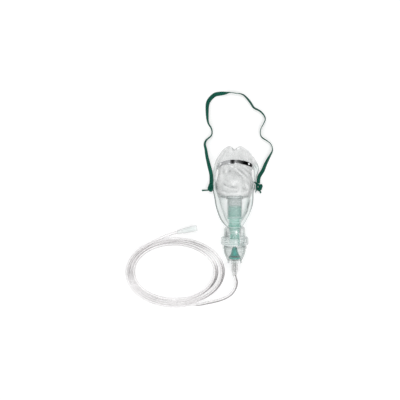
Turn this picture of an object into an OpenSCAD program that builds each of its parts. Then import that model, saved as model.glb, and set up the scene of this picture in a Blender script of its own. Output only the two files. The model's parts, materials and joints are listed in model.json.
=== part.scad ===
// Aerosol mask with a jet nebuliser, an elastic head strap and coiled supply tubing.
// It lies on its face: the face flange rests on the plane z = 0, +Y points to the nose and
// +Z points out of the face. The origin is the middle of the face opening.

/* [Mask] */
// Length of the face flange from nose to chin
mask_len = 142; // [138:1:146]
// Width of the face flange across the cheeks
mask_w = 77; // [74:1:80]
// Height of the dome above the face plane
dome_h = 55; // [54:0.5:57]
// Thickness of the vinyl wall
wall = 1.5; // [1.2:0.1:1.8]
// Diameter of each round breathing vent
vent_d = 24; // [16:1:25]

/* [Nose clip] */
// Width of the aluminium strip
clip_w = 7.5; // [5:0.5:8]
// Thickness of the aluminium strip
clip_t = 0.9; // [0.6:0.1:1.2]

/* [Strap] */
// Width of the elastic band
band_w = 6.5; // [5:0.5:7]
// Thickness of the elastic band
band_t = 1.4; // [0.8:0.1:1.6]

/* [Nebuliser] */
// Upward tilt of the nebuliser axis where it lies on its collar
tilt = 9; // [8:0.5:10]
// Outside radius of the grip collar
collar_r = 23; // [22:0.5:24]
// Outside radius of the cap wall
cap_r = 18; // [17.8:0.1:18.4]
// Radial clearance of each sliding or turning fit
fit_gap = 0.05; // [0.02:0.01:0.08]

/* [Tubing] */
// Outside diameter of the supply tube
tube_d = 5.5; // [5:0.1:6]
// Radius of the bore in the free connector
supply_bore_r = 2.95; // [2.8:0.05:3.1]

/* [Hidden] */
$fn = 64;

// Mask profiles, each as [y, value] from chin to nose, for a mask of the nominal size
nominal_len = 142;
nominal_w = 77;
nominal_h = 55;
ky = mask_len / nominal_len;
kx = mask_w / nominal_w;
kz = dome_h / nominal_h;
flange_half = [
    [-71, 5], [-67, 11], [-62, 15.5], [-54, 20.5], [-41, 27], [-31, 30], [-20, 32], [-7, 34.5], [5, 36],
    [19, 37.5], [34, 38.5], [48, 33.5], [55, 28.5], [61, 24], [66, 19], [71, 11]
];
dome_half = [
    [-71, 2.5], [-67, 6], [-58, 12.5], [-51, 16], [-41, 20], [-31, 23.5], [-20, 26.5], [-8, 31], [5, 33],
    [20, 34], [35, 32.5], [45, 29.5], [55, 23], [62, 16], [66, 12], [71, 7]
];
rim_z = [
    [-71, 5], [-67, 2.4], [-62, 0.5], [-58, 0], [31, 0], [36, 0.6], [42, 2.6], [50, 6.8], [60, 12], [71, 16]
];
chin_top = [[-71, 6.5], [-66, 7.8], [-60, 10.5], [-45, 15.5], [-30, 19], [-13, 21.5]];
bulge_top = [
    [-19, 51.5], [-8, 54.5], [0, 55], [10, 52], [25, 42], [36, 31], [45, 26], [60, 20.5], [71, 17.5]
];
step_y = [-18.5, -14.5];       // where the chin steps up to the bulge
smile = 4.5;                   // how far the step bends towards the nose at its ends
nose_dip = 5;                  // notch in the flange edge between the two nose lobes
arch_power = 2.6;              // 2 is an ellipse, more is squarer
arch_steps = 18;
ear_slot = [2.2, 7];
ear_x = 40;
ear_y = 2;
ear_size = [9, 14];

// Nebuliser axis and its stations, as distances s along it from the middle of the collar
collar_half = 6;
neb_y = -89;
neb_z = collar_r * cos(tilt) + collar_half * sin(tilt);
socket_s = [39.3, 77];
socket_r = 12.5;
port_s = [67, 81];              // where the socket's hole is cut through the dome's step
adapter_r = 11;
spigot_r = 8.9;
neck_s = 24.3;
neck_r = 11.5;
chimney_r = 8;
chimney_bore = 6.9;
chimney_s = [-9, 14];
cap_wall = 1.9;
seal_s = [-10.2, -9.4];
bowl_top_s = -3;
bowl_floor_s = -31;
nozzle_s = -12.8;
foot_s = -38;
stem_r = 3;
stem_end_s = -53.5;
connector_s = [-60, -38];
lug_half_angle = 12;
lug_r = cap_r + 2.6;
lug_t = 2;
lug_top_s = -3.5;
stop_angles = [-25, 95, 155, 275];
stop_width = 8;

// Breathing vents
vent_y = 20;
vent_z = 17;

// Nose clip
clip_y = 44;
clip_bend = 8.5;                 // how far the ends sit behind the middle
clip_end_t = 30;               // arch angle at each end
stud_t = 44;                   // arch angle of each stud
stud_r = 1.2;

// Tubing routes
tube_r = tube_d / 2;
tube_lumen_r = 1.75;
lead_route = [
    [1.5, -154, 13.4], [3, -160, 12], [1.5, -168, 9.4], [-2.5, -176, 6.8], [-9, -182.5, 4.6],
    [-18, -187.5, 3.2], [-30, -191.5, tube_r], [-44, -194.5, tube_r], [-60, -197.5, tube_r],
    [-76, -200, tube_r]
];
tail_route = [
    [-150, -99.5, 7.5], [-136, -90.5, 7.5], [-124, -84.5, 7], [-112, -79.5, 5], [-104, -77, 3.8],
    [-97, -75.3, 3.4]
];
coil_centre = [-101, -143];
coil_outer = [84.5, 60.5];
coil_width = 16.5;
coil_h = 10.5;
supply_len = 34;
supply_mouth_r = 5.6;
supply_rear_r = 3.4;
supply_az = 13;
supply_rise = asin((supply_mouth_r - supply_rear_r) / supply_len);

// Strap route, on edge on the table and up over the ears at both ends
band_z = band_w / 2 + 0.4;
band_up = band_z + 2;
strap_route = [
    [-40, 6, band_up], [-40, 14, band_up], [-40.5, 24, band_z + 1], [-42, 39, band_z], [-45, 54, band_z],
    [-48, 66, band_z], [-49.5, 74, band_z], [-49, 80, band_z], [-45, 84, band_z], [-40, 89, band_z],
    [-37.5, 95, band_z], [-39, 102, band_z], [-43, 108, band_z], [-46, 115, band_z], [-47, 128, band_z],
    [-46.5, 138, band_z], [-46, 145, band_z], [-43, 151, band_z], [-38, 156, band_z], [-32, 159.5, band_z],
    [-23, 161, band_z], [-15, 162, band_z], [-8, 163, band_z], [2, 162, band_z], [13, 160, band_z],
    [20, 154, band_z], [28, 145, band_z], [34, 137, band_z], [44, 131, band_z], [50, 124, band_z],
    [52.5, 117, band_z], [49.5, 109, band_z], [45.5, 101, band_z], [44.5, 93, band_z], [48, 86, band_z],
    [55, 80, band_z], [61, 75, band_z], [63.5, 69, band_z], [63.5, 63, band_z], [58, 52, band_z],
    [52.5, 41, band_z], [46.5, 29, band_z + 0.4], [42, 19, band_up], [40, 8, band_up]
];

// ---- Curves ----
function mix(a, b, t) = a + (b - a) * t;
function ease(t) = let (u = min(max(t, 0), 1)) u * u * (3 - 2 * u);
function segment(t, k, i = 0) = (i >= len(t) - 2 || k < t[i + 1][0]) ? i : segment(t, k, i + 1);
function slope(t, i) =
    let (a = max(i - 1, 0), b = min(i + 1, len(t) - 1)) (t[b][1] - t[a][1]) / (t[b][0] - t[a][0]);
// Smooth curve through a table of [key, value]
function curve(k, t) =
    let (i = segment(t, k), d = t[i + 1][0] - t[i][0], u = min(max((k - t[i][0]) / d, 0), 1))
    t[i][1] * (1 + 2 * u) * (1 - u) * (1 - u) + slope(t, i) * d * u * (1 - u) * (1 - u)
    + t[i + 1][1] * u * u * (3 - 2 * u) + slope(t, i + 1) * d * u * u * (u - 1);
function unit(v) = v / norm(v);

// ---- Mask surface ----
function top_z(y) =
    kz * mix(curve(y, chin_top), curve(y, bulge_top), ease((y - step_y[0]) / (step_y[1] - step_y[0])));
function bent_y(x, y) =
    y + smile * pow(x / 30, 2) * exp(-pow((y + 15) / 14, 2))
    - nose_dip * exp(-pow(x / 5, 2)) * exp(-pow((y - 71) / 6, 2));
function placed(x, y, z) = [kx * x, ky * bent_y(x, y), z];
function squared(v) = sign(v) * pow(abs(v), 2 / arch_power);
// A point of the dome at station y and arch angle t, raised by skin: 0 is inside, wall is outside
function dome_point(y, t, skin) =
    let (low = curve(y, rim_z) + skin, high = max(top_z(y) - wall + skin, low))
    placed(
        max(curve(y, dome_half) - (wall - skin) / kx, 1) * squared(cos(t)), y,
        low + (high - low) * squared(sin(t))
    );
function mask_row(y, skin) =
    let (w = curve(y, flange_half), z = curve(y, rim_z) + skin)
    concat(
        [placed(-w, y, z)],
        [for (i = [0:arch_steps]) dome_point(y, 180 - 180 * i / arch_steps, skin)],
        [placed(w, y, z)]
    );
stations = concat(
    [for (i = [0:13]) mix(-71, -20.5, i / 13)], [for (i = [0:5]) mix(-18.8, -13.8, i / 5)],
    [for (i = [1:19]) mix(-13, 71, i / 19)]
);
// Outward direction of the dome
function dome_normal(y, t) =
    let (
        across = dome_point(y, t - 2, wall) - dome_point(y, t + 2, wall),
        along = dome_point(y + 1, t, wall) - dome_point(y - 1, t, wall)
    )
    unit(cross(across, along));

// Closed skin of two equal grids of rows, one over the other
module double_skin(upper, lower) {
    rows = len(upper);
    cols = len(upper[0]);
    function at(side, i, j) = side * rows * cols + i * cols + j;
    points = concat([for (r = upper) each r], [for (r = lower) each r]);
    faces = concat(
        [for (i = [0:rows - 2]) for (j = [0:cols - 2]) each [
            [at(0, i, j), at(0, i + 1, j), at(0, i + 1, j + 1)],
            [at(0, i, j), at(0, i + 1, j + 1), at(0, i, j + 1)],
            [at(1, i, j), at(1, i + 1, j + 1), at(1, i + 1, j)],
            [at(1, i, j), at(1, i, j + 1), at(1, i + 1, j + 1)]
        ]],
        [for (i = [0:rows - 2]) each [
            [at(0, i, 0), at(1, i, 0), at(1, i + 1, 0)], [at(0, i, 0), at(1, i + 1, 0), at(0, i + 1, 0)],
            [at(0, i, cols - 1), at(1, i + 1, cols - 1), at(1, i, cols - 1)],
            [at(0, i, cols - 1), at(0, i + 1, cols - 1), at(1, i + 1, cols - 1)]
        ]],
        [for (j = [0:cols - 2]) each [
            [at(0, 0, j), at(1, 0, j + 1), at(1, 0, j)], [at(0, 0, j), at(0, 0, j + 1), at(1, 0, j + 1)],
            [at(0, rows - 1, j), at(1, rows - 1, j), at(1, rows - 1, j + 1)],
            [at(0, rows - 1, j), at(1, rows - 1, j + 1), at(0, rows - 1, j + 1)]
        ]]
    );
    polyhedron(points, faces);
}

// Solid swept along a route that stays nearly level. The section is [sideways, up] points.
module sweep(route, section) {
    n = len(route);
    m = len(section);
    function heading(i) = unit(route[min(i + 1, n - 1)] - route[max(i - 1, 0)]);
    function ring(i) =
        let (ahead = heading(i), side = unit(cross(ahead, [0, 0, 1])), up = cross(side, ahead))
        [for (p = section) route[i] + p[0] * side + p[1] * up];
    points = [for (i = [0:n - 1]) each ring(i)];
    faces = concat(
        [[for (j = [0:m - 1]) j]],
        [for (i = [0:n - 2]) for (j = [0:m - 1]) each [
            [i * m + j, (i + 1) * m + j, (i + 1) * m + (j + 1) % m],
            [i * m + j, (i + 1) * m + (j + 1) % m, i * m + (j + 1) % m]
        ]],
        [[for (j = [m - 1:-1:0]) (n - 1) * m + j]]
    );
    polyhedron(points, faces);
}
function oval(a, b, sides) = [for (i = [0:sides - 1]) [a * cos(360 * i / sides), b * sin(360 * i / sides)]];

module on_neb_axis() {
    translate([0, neb_y, neb_z]) rotate([tilt - 90, 0, 0]) children();
}
module turned(profile) {
    rotate_extrude() polygon(profile);
}
module arc_wall(r_in, r_out, s0, s1, angle, width) {
    rotate([0, 0, angle - width / 2]) translate([0, 0, s0])
        rotate_extrude(angle = width) translate([r_in, 0]) square([r_out - r_in, s1 - s0]);
}

// ---- Mask ----
module ear(side) {
    translate([side * kx * (ear_x - 1.5), ear_y, wall / 2])
        cube([ear_size[0], ear_size[1], wall], center = true);
}
module mask_shell() {
    color("#dfe6e4") resize([0, 0, 0]) difference() {
        union() {
            double_skin([for (y = stations) mask_row(y, wall)], [for (y = stations) mask_row(y, 0)]);
            ear(1);
            ear(-1);
        }
        translate([0, ky * vent_y, vent_z]) rotate([0, 90, 0])
            cylinder(d = vent_d, h = 1.5 * mask_w, center = true);
        on_neb_axis() translate([0, 0, port_s[0]]) cylinder(r = socket_r, h = port_s[1] - port_s[0]);
        for (side = [-1, 1]) translate([side * kx * ear_x, ear_y, 0])
            cube([ear_slot[0], ear_slot[1], 10], center = true);
    }
}

module port_socket() {
    bore = adapter_r + fit_gap;
    bead = 0.8;
    collar = 1.8;
    s = socket_s;
    color("#e6efec") on_neb_axis() turned([
        [bore + 0.5, s[0]], [socket_r, s[0]], [socket_r + bead, s[0] + 0.8], [socket_r + bead, s[0] + 2],
        [socket_r, s[0] + 2.8], [socket_r, s[1] - 6.5], [socket_r + collar, s[1] - 5.5],
        [socket_r + collar, s[1] - 3.8], [socket_r, s[1] - 3.8], [socket_r, s[1]], [bore, s[1]],
        [bore, s[0] + 0.8]
    ]);
}

// ---- Nose clip ----
function clip_row_y(t) = clip_y - clip_bend * pow(cos(t), 2);
// Half the strip's width, rounded off at its ends
function clip_half(t) = let (u = min((t - clip_end_t) / 7, (180 - clip_end_t - t) / 7, 1))
    clip_w / 2 * sqrt(max(1 - pow(1 - u, 2), 0.02));
module nose_clip() {
    steps = 44;
    lift = 0.15;
    angles = [for (i = [0:steps]) mix(180 - clip_end_t, clip_end_t, i / steps)];
    function row(side, up) = [for (t = angles)
        dome_point(clip_row_y(t) + side * clip_half(t), t, wall) + up * dome_normal(clip_row_y(t), t)];
    color("#5b5f62") difference() {
        double_skin([row(-1, lift + clip_t), row(1, lift + clip_t)], [row(-1, lift), row(1, lift)]);
        for (t = [stud_t, 180 - stud_t]) at_clip_stud(t) cylinder(r = stud_r + 0.25, h = 8, center = true);
    }
}
module at_clip_stud(t) {
    y = clip_row_y(t);
    n = dome_normal(y, t);
    translate(dome_point(y, t, wall)) rotate([0, acos(n[2]), atan2(n[1], n[0])]) children();
}
module clip_studs() {
    head_r = 1.9;
    neck_h = 1.5;
    color("#f4f6f5") for (t = [stud_t, 180 - stud_t]) at_clip_stud(t) {
        translate([0, 0, -0.5]) cylinder(r = stud_r, h = neck_h + 0.6);
        translate([0, 0, neck_h]) cylinder(r1 = head_r, r2 = head_r - 0.6, h = 0.8);
    }
}

// ---- Strap ----
module strap_band() {
    color("#0c6b4c") sweep(strap_route, oval(band_t / 2, band_w / 2, 8));
}
module lump(points, r) {
    hull() for (p = points) translate(p) sphere(r = r, $fn = 16);
}
module tail_flap(a, b) {
    hull() for (p = [a, b]) translate(p) cylinder(d = band_t, h = band_w, $fn = 16);
}
module strap_knot_left() {
    color("#0c6b4c") union() {
        lump([[-40, -2.5, 5.2], [-40.5, 3.5, 5.4]], 3.6);
        lump([[-42, -3.5, 5], [-38, 2, 5.8]], 3.4);
        tail_flap([-43, -3, 2], [-55, -4.5, 0.4]);
    }
}
module strap_knot_right() {
    color("#0c6b4c") union() {
        lump([[40, 5, 5.4], [41, -1, 5.2]], 3.6);
        lump([[38.5, 4.5, 5.6], [43.5, 0.5, 5.2]], 3.2);
        tail_flap([42, -1.5, 2], [44.5, -8.5, 1]);
        tail_flap([39, 0, 2.2], [37, -7, 2]);
    }
}

// ---- Nebuliser ----
module outlet_adapter() {
    bore = adapter_r - 1.6;
    low_bore = spigot_r - 1.4;
    body = 9.5;
    rib = 0.8;
    stop_s = [37.6, 38.9];
    top_s = 59;
    rib_s = [28.6, 31.6, 34.6];
    color("#7fd0b8") on_neb_axis() turned(concat(
        [[low_bore, neck_s - 9], [spigot_r, neck_s - 9], [spigot_r, neck_s + 0.3],
         [adapter_r, neck_s + 0.3], [adapter_r, neck_s + 2.2], [body, neck_s + 2.6]],
        [for (s = rib_s) each [
            [body, s - 0.7], [body + rib, s - 0.4], [body + rib, s + 0.4], [body, s + 0.7]
        ]],
        [[body, stop_s[0] - 0.6], [socket_r, stop_s[0]], [socket_r, stop_s[1]], [adapter_r, stop_s[1]],
         [adapter_r, top_s - 0.7], [adapter_r - 0.7, top_s], [bore, top_s], [bore, 40], [low_bore, 36]]
    ));
}

module nebuliser_cap() {
    inner = cap_r - cap_wall;
    web_s = [chimney_s[1] - 2, chimney_s[1]];
    top = 24;
    color("#dfeae6") on_neb_axis() union() {
        // Wall, domed top and neck round the adapter's spigot, with the web that holds the chimney
        turned([
            [inner, seal_s[1] + 0.1], [cap_r, seal_s[1] + 0.1], [cap_r, top - 5.5], [17.5, top - 3.3],
            [16, top - 1.2], [13.6, top], [neck_r, top], [neck_r, neck_s], [spigot_r + fit_gap, neck_s],
            [spigot_r + fit_gap, web_s[1]], [chimney_r, web_s[1]], [chimney_r, web_s[0]],
            [neck_r - 1, web_s[0]], [neck_r - 1, top - 2], [13, top - 2], [15, top - 3.4],
            [inner, top - 6]
        ]);
        turned([
            [cap_r - 0.5, 4.4], [collar_r - 1.5, 4.4], [collar_r - 1.5, -collar_half],
            [collar_r, -collar_half],
            [collar_r, collar_half - 1.4], [collar_r - 1.4, collar_half], [cap_r - 0.5, collar_half]
        ]);
        for (a = stop_angles) arc_wall(cap_r - 0.4, collar_r - 1.3, -2, 4.6, a, stop_width);
    }
}

module baffle_tube() {
    fin_r = 11.5;
    color("#8fdcc4") on_neb_axis() union() {
        turned([
            [chimney_bore, chimney_s[0]], [chimney_r, chimney_s[0]], [chimney_r, chimney_s[1]],
            [chimney_bore, chimney_s[1]]
        ]);
        for (a = [45:90:315]) arc_wall(chimney_r - 0.3, fin_r, -6, 10, a, 6);
    }
}

module impact_baffle() {
    pin_r = 1.7;
    bar = 2.2;
    bar_s = -5;
    color("#8fdcc4") on_neb_axis() union() {
        translate([0, 0, chimney_s[0] + 0.3]) cylinder(r = pin_r, h = 5);
        translate([0, 0, bar_s]) intersection() {
            cube([2 * chimney_bore, bar, bar], center = true);
            cylinder(r = chimney_bore, h = 2 * bar, center = true);
        }
    }
}

module cap_seal() {
    inner = cap_r - cap_wall;
    color("#c9d6d2") on_neb_axis()
        turned([[inner, seal_s[0]], [cap_r, seal_s[0]], [cap_r, seal_s[1]], [inner, seal_s[1]]]);
}

module jet_cone() {
    base_s = bowl_floor_s + 0.4;
    cone_tip_s = -11;
    cone_r = 10;
    color("#05694a") on_neb_axis() turned([
        [0.7, cone_tip_s], [3.2, cone_tip_s], [3.6, cone_tip_s - 1.5], [5.6, -20.5], [7.2, -24.5],
        [cone_r, -27.2], [cone_r, base_s], [4.8, base_s], [2.3, cone_tip_s - 2], [0.7, cone_tip_s - 1.3]
    ]);
}

module bowl() {
    neck_out = cap_r - cap_wall - fit_gap;
    neck_in = neck_out - 1.4;
    shoulder_s = seal_s[0] - 0.1;
    out_r = cap_r + 0.3;
    foot_r = 12;
    base_s = bowl_floor_s - 2;
    base_r = 12.8;
    inner_r = out_r - 1.5;
    lug_floor_s = -13;
    orifice_r = 0.5;
    gas_bore_r = 1.6;
    foot_count = 4;
    color("#e2edea") on_neb_axis() union() {
        // Neck, shoulder and conical wall down to the floor
        turned([
            [neck_in, bowl_top_s], [neck_out, bowl_top_s], [neck_out, shoulder_s], [out_r, shoulder_s],
            [out_r, -18], [17.2, -23], [base_r, base_s], [stem_r - 0.5, base_s],
            [stem_r - 0.5, bowl_floor_s], [base_r - 1.4, bowl_floor_s], [15.8, -22], [inner_r, -17.8],
            [inner_r, shoulder_s - 2], [neck_in, shoulder_s]
        ]);
        // Nozzle above the floor and gas stem below it, on one gas bore
        turned([
            [orifice_r, nozzle_s], [gas_bore_r, nozzle_s], [4.2, bowl_floor_s], [4.2, base_s],
            [stem_r, base_s - 0.6], [stem_r, stem_end_s + 1], [stem_r - 0.4, stem_end_s],
            [gas_bore_r, stem_end_s], [gas_bore_r, -20], [orifice_r, -15]
        ]);
        // Foot ring with four notches
        for (i = [0:foot_count - 1])
            arc_wall(foot_r - 1.4, foot_r, foot_s, base_s + 0.4, i * 360 / foot_count, 70);
        // Bayonet lugs that stand in the collar's channel
        for (a = [0, 180]) rotate([0, 0, a - lug_half_angle]) rotate_extrude(angle = 2 * lug_half_angle)
            polygon([
                [out_r - 0.7, lug_floor_s], [lug_r, lug_floor_s], [lug_r, lug_top_s],
                [lug_r - lug_t, lug_top_s], [lug_r - lug_t, lug_floor_s + 1.8],
                [out_r - 0.7, lug_floor_s + 1.8]
            ]);
    }
}

// ---- Tubing ----
module hose_connector() {
    s = connector_s;
    grip_r = 5.1;
    color("#e9eeec") on_neb_axis() turned([
        [stem_r + fit_gap, s[1]], [grip_r, s[1]], [grip_r, s[1] - 13], [4.4, s[0] + 5], [3.5, s[0]],
        [tube_lumen_r, s[0]], [tube_lumen_r, s[0] + 5.5], [stem_r + fit_gap, s[0] + 5.5]
    ]);
}

function neb_point(s) = [0, neb_y + s * cos(tilt), neb_z + s * sin(tilt)];
module tube_lead() {
    start = neb_point(connector_s[0]);
    color("#eef0ef") sweep(concat([start], lead_route), oval(tube_r, tube_r, 10));
}

module tube_coil() {
    steps = 72;
    function ellipse(inset) = [for (i = [0:steps - 1]) let (a = 360 * i / steps)
        coil_centre + [(coil_outer[0] - inset) * cos(a), (coil_outer[1] - inset) * sin(a)]];
    color("#f1f2f1") linear_extrude(coil_h) difference() {
        polygon(ellipse(0));
        polygon(ellipse(coil_width));
    }
}

module tube_tail() {
    color("#eef0ef") sweep(tail_route, oval(tube_r, tube_r, 10));
}

module supply_connector() {
    rear = tail_route[len(tail_route) - 1];
    mouth_depth = 16;
    color("#eceeed") translate(rear) rotate([0, 90 - supply_rise, supply_az]) turned([
        [tube_lumen_r, 0], [supply_rear_r - 0.3, 0], [supply_rear_r, 1],
        [supply_mouth_r - 0.6, supply_len - 3],
        [supply_mouth_r, supply_len - 1.5], [supply_mouth_r - 0.3, supply_len], [supply_bore_r, supply_len],
        [supply_bore_r, supply_len - mouth_depth], [tube_lumen_r, supply_len - mouth_depth]
    ]);
}

mask_shell();
port_socket();
nose_clip();
clip_studs();
strap_band();
strap_knot_left();
strap_knot_right();
outlet_adapter();
nebuliser_cap();
baffle_tube();
impact_baffle();
cap_seal();
jet_cone();
bowl();
hose_connector();
tube_lead();
tube_coil();
tube_tail();
supply_connector();
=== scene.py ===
import json
import math

import bmesh
import bpy
import numpy as np
from mathutils import Matrix, Vector


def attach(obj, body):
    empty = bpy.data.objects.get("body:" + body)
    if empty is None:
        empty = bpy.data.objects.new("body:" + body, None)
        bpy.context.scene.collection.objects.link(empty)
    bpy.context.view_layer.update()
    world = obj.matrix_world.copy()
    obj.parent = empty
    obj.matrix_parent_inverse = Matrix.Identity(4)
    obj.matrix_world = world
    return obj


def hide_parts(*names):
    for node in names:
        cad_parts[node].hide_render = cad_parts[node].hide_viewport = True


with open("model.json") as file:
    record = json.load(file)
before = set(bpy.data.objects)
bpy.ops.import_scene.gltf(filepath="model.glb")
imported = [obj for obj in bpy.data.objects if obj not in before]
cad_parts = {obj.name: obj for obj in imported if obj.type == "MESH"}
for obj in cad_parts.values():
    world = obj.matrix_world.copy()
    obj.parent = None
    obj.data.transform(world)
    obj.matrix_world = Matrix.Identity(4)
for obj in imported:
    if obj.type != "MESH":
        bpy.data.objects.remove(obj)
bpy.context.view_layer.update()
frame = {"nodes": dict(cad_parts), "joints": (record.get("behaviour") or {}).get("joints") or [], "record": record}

MM = 0.001

# ---------------------------------------------------------------- curves and meshes


def smooth(table, key):
    """Smooth curve through a table of (key, value), with clamped ends. The value may be an array."""
    keys = [row[0] for row in table]
    values = [np.array(row[1:], float) for row in table]
    key = min(max(key, keys[0]), keys[-1])
    i = min(max(int(np.searchsorted(keys, key)) - 1, 0), len(keys) - 2)

    def slope(j):
        a, b = max(j - 1, 0), min(j + 1, len(keys) - 1)
        return (values[b] - values[a]) / (keys[b] - keys[a])

    d = keys[i + 1] - keys[i]
    u = (key - keys[i]) / d
    v = (
        values[i] * (1 + 2 * u) * (1 - u) ** 2
        + slope(i) * d * u * (1 - u) ** 2
        + values[i + 1] * u * u * (3 - 2 * u)
        + slope(i + 1) * d * u * u * (u - 1)
    )
    return float(v[0]) if len(v) == 1 else v


def ease(t):
    t = min(max(t, 0.0), 1.0)
    return t * t * (3 - 2 * t)


def resampled(points, step):
    """Smooth line through points, with a point about every step, as an array."""
    points = [np.array(p, float) for p in points]
    at = [0.0]
    for a, b in zip(points, points[1:]):
        at.append(at[-1] + float(np.linalg.norm(b - a)))
    table = [(s, *p) for s, p in zip(at, points)]
    count = max(int(at[-1] / step), 2)
    return np.array([smooth(table, at[-1] * i / count) for i in range(count + 1)])


def new_object(name, verts, faces, smooth_angle=35, scale=MM):
    mesh = bpy.data.meshes.new(name)
    mesh.from_pydata([tuple(float(c) * scale for c in v) for v in verts], [], faces)
    mesh.validate()
    bm = bmesh.new()
    bm.from_mesh(mesh)
    bmesh.ops.recalc_face_normals(bm, faces=bm.faces)
    bm.to_mesh(mesh)
    bm.free()
    obj = bpy.data.objects.new(name, mesh)
    bpy.context.scene.collection.objects.link(obj)
    shade(obj, smooth_angle)
    return obj


def shade(obj, smooth_angle):
    mesh = obj.data
    mesh.shade_smooth()
    mesh.set_sharp_from_angle(angle=math.radians(smooth_angle))


def swept(path, section_at, closed_ends=True):
    """Vertices and faces of a tube along path. section_at(i) gives (sideways, up) points of ring i."""
    verts, faces = [], []
    count = len(path)
    sides = len(section_at(0))
    for i, p in enumerate(path):
        ahead = path[min(i + 1, count - 1)] - path[max(i - 1, 0)]
        ahead = ahead / np.linalg.norm(ahead)
        side = np.cross(ahead, (0.0, 0.0, 1.0))
        side = side / np.linalg.norm(side)
        up = np.cross(side, ahead)
        verts += [p + a * side + b * up for a, b in section_at(i)]
    for i in range(count - 1):
        for j in range(sides):
            k = (j + 1) % sides
            faces.append((i * sides + j, i * sides + k, (i + 1) * sides + k, (i + 1) * sides + j))
    if closed_ends:
        faces.append(tuple(range(sides)))
        faces.append(tuple((count - 1) * sides + j for j in reversed(range(sides))))
    return verts, faces


def joined(*parts):
    """Vertices and faces of several parts as one."""
    verts, faces = [], []
    for v, f in parts:
        start = len(verts)
        verts += list(v)
        faces += [tuple(k + start for k in face) for face in f]
    return verts, faces


def circle(r, sides):
    return [(r * math.cos(2 * math.pi * k / sides), r * math.sin(2 * math.pi * k / sides)) for k in range(sides)]


# ---------------------------------------------------------------- materials


def put(tree, socket, value):
    """Links a socket's value into another socket, or sets a plain value on it."""
    if isinstance(value, bpy.types.NodeSocket):
        tree.links.new(value, socket)
    else:
        socket.default_value = value


def node(tree, kind, inputs=(), **settings):
    n = tree.nodes.new(kind)
    for key, value in settings.items():
        setattr(n, key, value)
    for key, value in dict(inputs).items():
        put(tree, n.inputs[key], value)
    return n


def ranged(tree, value, low, high, from_low=0.0, from_high=1.0):
    return node(
        tree, "ShaderNodeMapRange",
        {"Value": value, "From Min": from_low, "From Max": from_high, "To Min": low, "To Max": high},
    ).outputs["Result"]


def mixed(tree, factor, a, b):
    return node(tree, "ShaderNodeMix", {0: factor, 6: a, 7: b}, data_type="RGBA").outputs[2]


def maths(tree, operation, a, b=0.0):
    return node(tree, "ShaderNodeMath", {0: a, 1: b}, operation=operation).outputs[0]


def noise(tree, scale, detail=3.0, vector=None, roughness=0.5):
    inputs = {"Scale": scale, "Detail": detail, "Roughness": roughness}
    if vector is not None:
        inputs["Vector"] = vector
    else:
        inputs["Vector"] = node(tree, "ShaderNodeTexCoord").outputs["Object"]
    return node(tree, "ShaderNodeTexNoise", inputs).outputs["Fac"]


def principled(name, **sockets):
    mat = bpy.data.materials.new(name)
    mat.use_nodes = True
    shader = mat.node_tree.nodes["Principled BSDF"]
    for key, value in sockets.items():
        shader.inputs[key.replace("_", " ")].default_value = value
    return mat, mat.node_tree, shader


def bumped(tree, shader, height, strength, distance):
    bump = node(tree, "ShaderNodeBump", {"Height": height, "Strength": strength, "Distance": distance})
    tree.links.new(bump.outputs["Normal"], shader.inputs["Normal"])


def rgb(r, g, b):
    return (r, g, b, 1.0)


def painted_light_parts(tree):
    """The mesh's painted light, as how dark its painted shade and how white its painted highlight is at a spot."""
    painted_light = node(tree, "ShaderNodeAttribute", attribute_name="painted_light").outputs["Fac"]
    return maths(tree, "MAXIMUM", painted_light, 0.0), maths(tree, "MAXIMUM", maths(tree, "MULTIPLY", painted_light, -1.0), 0.0)


def clear_plastic(name, face, edge, alpha, rough=(0.05, 0.14), power=2.2, grain=160.0, bump=0.06, cloud=0.15):
    """See-through plastic: thin where it faces the eye, denser and darker at its edges, with the mesh's painted shade
    and painted highlights laid on.
    face and edge are colours, and alpha is (facing, at the edge)."""
    mat, tree, shader = principled(name, IOR=1.5)
    facing = node(tree, "ShaderNodeLayerWeight", {"Blend": 0.5}).outputs["Facing"]
    turn = maths(tree, "POWER", facing, power)
    cloudy = noise(tree, grain, 4.0)
    dark, light = painted_light_parts(tree)
    # Painted shade darkens the colour towards a deep edge colour and painted highlights whiten it; both make the spot
    # more opaque.
    painted_shade_colour = tuple(c * 0.35 for c in edge[:3]) + (1.0,)
    shaded = mixed(tree, dark, mixed(tree, turn, face, edge), painted_shade_colour)
    tree.links.new(mixed(tree, light, shaded, rgb(0.93, 0.98, 0.97)), shader.inputs["Base Color"])
    dense = ranged(tree, turn, alpha[0], alpha[1])
    spread = ranged(tree, cloudy, 1 - cloud, 1 + cloud, 0.25, 0.75)
    painted_light_opacity = maths(tree, "MULTIPLY", maths(tree, "MAXIMUM", dark, light), 0.8)
    tree.links.new(maths(tree, "MAXIMUM", maths(tree, "MULTIPLY", dense, spread), painted_light_opacity), shader.inputs["Alpha"])
    tree.links.new(ranged(tree, cloudy, rough[0], rough[1], 0.3, 0.7), shader.inputs["Roughness"])
    bumped(tree, shader, noise(tree, grain * 0.35, 2.0), bump, 0.0006)
    return mat


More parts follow.
